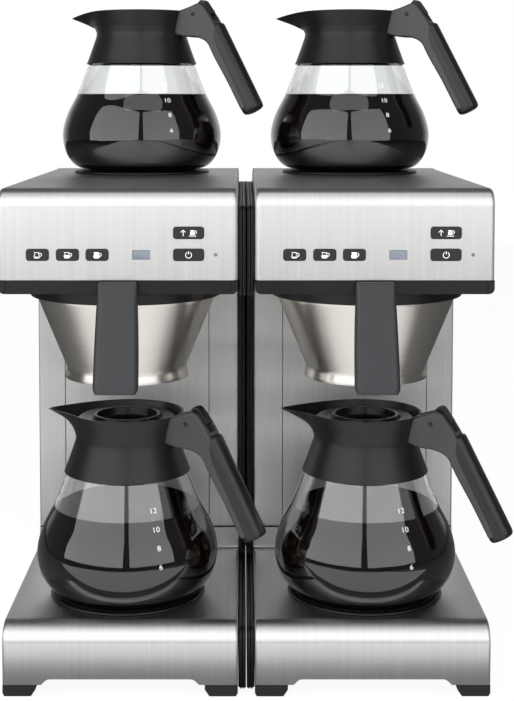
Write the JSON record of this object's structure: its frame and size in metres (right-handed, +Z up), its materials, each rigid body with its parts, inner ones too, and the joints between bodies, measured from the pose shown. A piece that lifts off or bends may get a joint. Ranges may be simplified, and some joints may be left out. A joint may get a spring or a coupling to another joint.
{
  "type": "commercial coffee brewer",
  "caption": "Twin filter-coffee brewer with pull-out filter baskets, hotplates below and on top, key controls and glass jugs with hinged lids.",
  "frame": {"origin": "middle of the footprint, jug handles and filter handles included, on the surface that the feet stand on", "axes": "+X to the right seen from the front, +Y from the front to the back, +Z up"},
  "size_m": [0.4562, 0.454, 0.6269],
  "materials": {
    "brushed_steel": "vertical brushed grain, satin",
    "pan_steel": "mill finish",
    "basket_steel": "spun, satin",
    "black_plastic": "satin moulded black",
    "slate_plastic": "fine matt texture, slate grey",
    "foot_rubber": "matt black",
    "plate_coating": "black non-stick coating",
    "glass": "clear heat-resistant glass",
    "key_plastic": "satin dark grey with white symbols",
    "boiler_steel": "drawn and welded",
    "circuit_board": "green lacquer",
    "brass": "turned"
  },
  "bodies": {
    "chassis": {"left_head_cover": "brushed_steel", "left_base_cover": "brushed_steel", "left_column_cover": "brushed_steel", "left_service_panel": "brushed_steel", "left_base_pan": "pan_steel", "left_head_moulding": "black_plastic", "left_centre_moulding": "black_plastic", "left_outer_front_foot": "foot_rubber", "left_inner_front_foot": "foot_rubber", "left_rear_foot": "foot_rubber", "left_lower_hotplate": "plate_coating", "left_upper_hotplate": "plate_coating", "left_spray_head": "black_plastic", "left_boiler": "boiler_steel", "left_control_board": "circuit_board", "right_head_cover": "brushed_steel", "right_base_cover": "brushed_steel", "right_column_cover": "brushed_steel", "right_service_panel": "brushed_steel", "right_base_pan": "pan_steel", "right_head_moulding": "black_plastic", "right_centre_moulding": "black_plastic", "right_outer_front_foot": "foot_rubber", "right_inner_front_foot": "foot_rubber", "right_rear_foot": "foot_rubber", "right_lower_hotplate": "plate_coating", "right_upper_hotplate": "plate_coating", "right_spray_head": "black_plastic", "right_boiler": "boiler_steel", "right_control_board": "circuit_board", "rear_panel": "brushed_steel", "inlet_valve": "brass", "cable_gland": "black_plastic"},
    "left_small_jug_button": {"left_small_jug_button": "key_plastic"},
    "left_half_jug_button": {"left_half_jug_button": "key_plastic"},
    "left_full_jug_button": {"left_full_jug_button": "key_plastic"},
    "left_plate_button": {"left_plate_button": "key_plastic"},
    "left_power_button": {"left_power_button": "key_plastic"},
    "left_filter": {"left_filter_basket": "basket_steel", "left_filter_holder": "slate_plastic"},
    "left_lower_jug": {"left_lower_jug_glass": "glass", "left_lower_jug_collar_and_handle": "black_plastic"},
    "left_lower_jug_lid": {"left_lower_jug_lid": "black_plastic"},
    "left_upper_jug": {"left_upper_jug_glass": "glass", "left_upper_jug_collar_and_handle": "black_plastic"},
    "left_upper_jug_lid": {"left_upper_jug_lid": "black_plastic"},
    "right_small_jug_button": {"right_small_jug_button": "key_plastic"},
    "right_half_jug_button": {"right_half_jug_button": "key_plastic"},
    "right_full_jug_button": {"right_full_jug_button": "key_plastic"},
    "right_plate_button": {"right_plate_button": "key_plastic"},
    "right_power_button": {"right_power_button": "key_plastic"},
    "right_filter": {"right_filter_basket": "basket_steel", "right_filter_holder": "slate_plastic"},
    "right_lower_jug": {"right_lower_jug_glass": "glass", "right_lower_jug_collar_and_handle": "black_plastic"},
    "right_lower_jug_lid": {"right_lower_jug_lid": "black_plastic"},
    "right_upper_jug": {"right_upper_jug_glass": "glass", "right_upper_jug_collar_and_handle": "black_plastic"},
    "right_upper_jug_lid": {"right_upper_jug_lid": "black_plastic"}
  },
  "joints": [
    {"name": "left_small_jug_button_press", "type": "slide", "parent": "chassis", "child": "left_small_jug_button", "axis": [0, 1, 0], "range_m": [0, 0.001], "stiffness_N_per_m": 400},
    {"name": "left_half_jug_button_press", "type": "slide", "parent": "chassis", "child": "left_half_jug_button", "axis": [0, 1, 0], "range_m": [0, 0.001], "stiffness_N_per_m": 400},
    {"name": "left_full_jug_button_press", "type": "slide", "parent": "chassis", "child": "left_full_jug_button", "axis": [0, 1, 0], "range_m": [0, 0.001], "stiffness_N_per_m": 400},
    {"name": "left_plate_button_press", "type": "slide", "parent": "chassis", "child": "left_plate_button", "axis": [0, 1, 0], "range_m": [0, 0.001], "stiffness_N_per_m": 400},
    {"name": "left_power_button_press", "type": "slide", "parent": "chassis", "child": "left_power_button", "axis": [0, 1, 0], "range_m": [0, 0.001], "stiffness_N_per_m": 400},
    {"name": "left_filter_slide", "type": "slide", "parent": "chassis", "child": "left_filter", "axis": [0, -1, 0], "range_m": [0, 0.2]},
    {"name": "left_lower_jug_slide", "type": "slide", "parent": "chassis", "child": "left_lower_jug", "axis": [0, -1, 0], "range_m": [0, 0.23]},
    {"name": "left_lower_jug_lid_hinge", "type": "hinge", "parent": "left_lower_jug", "child": "left_lower_jug_lid", "pos_m": [-0.06415, -0.12431, 0.2296], "axis": [0.4226, 0.9063, 0], "range_deg": [0, 18]},
    {"name": "left_upper_jug_lift", "type": "slide", "parent": "chassis", "child": "left_upper_jug", "axis": [0, 0, 1], "range_m": [0, 0.15]},
    {"name": "left_upper_jug_lid_hinge", "type": "hinge", "parent": "left_upper_jug", "child": "left_upper_jug_lid", "pos_m": [-0.06415, 0.08868, 0.6116], "axis": [0.4226, 0.9063, 0], "range_deg": [0, 60]},
    {"name": "right_small_jug_button_press", "type": "slide", "parent": "chassis", "child": "right_small_jug_button", "axis": [0, 1, 0], "range_m": [0, 0.001], "stiffness_N_per_m": 400},
    {"name": "right_half_jug_button_press", "type": "slide", "parent": "chassis", "child": "right_half_jug_button", "axis": [0, 1, 0], "range_m": [0, 0.001], "stiffness_N_per_m": 400},
    {"name": "right_full_jug_button_press", "type": "slide", "parent": "chassis", "child": "right_full_jug_button", "axis": [0, 1, 0], "range_m": [0, 0.001], "stiffness_N_per_m": 400},
    {"name": "right_plate_button_press", "type": "slide", "parent": "chassis", "child": "right_plate_button", "axis": [0, 1, 0], "range_m": [0, 0.001], "stiffness_N_per_m": 400},
    {"name": "right_power_button_press", "type": "slide", "parent": "chassis", "child": "right_power_button", "axis": [0, 1, 0], "range_m": [0, 0.001], "stiffness_N_per_m": 400},
    {"name": "right_filter_slide", "type": "slide", "parent": "chassis", "child": "right_filter", "axis": [0, -1, 0], "range_m": [0, 0.2]},
    {"name": "right_lower_jug_slide", "type": "slide", "parent": "chassis", "child": "right_lower_jug", "axis": [0, -1, 0], "range_m": [0, 0.23]},
    {"name": "right_lower_jug_lid_hinge", "type": "hinge", "parent": "right_lower_jug", "child": "right_lower_jug_lid", "pos_m": [0.15735, -0.12431, 0.2296], "axis": [0.4226, 0.9063, 0], "range_deg": [0, 18]},
    {"name": "right_upper_jug_lift", "type": "slide", "parent": "chassis", "child": "right_upper_jug", "axis": [0, 0, 1], "range_m": [0, 0.15]},
    {"name": "right_upper_jug_lid_hinge", "type": "hinge", "parent": "right_upper_jug", "child": "right_upper_jug_lid", "pos_m": [0.15735, 0.08868, 0.6116], "axis": [0.4226, 0.9063, 0], "range_deg": [0, 60]}
  ]
}
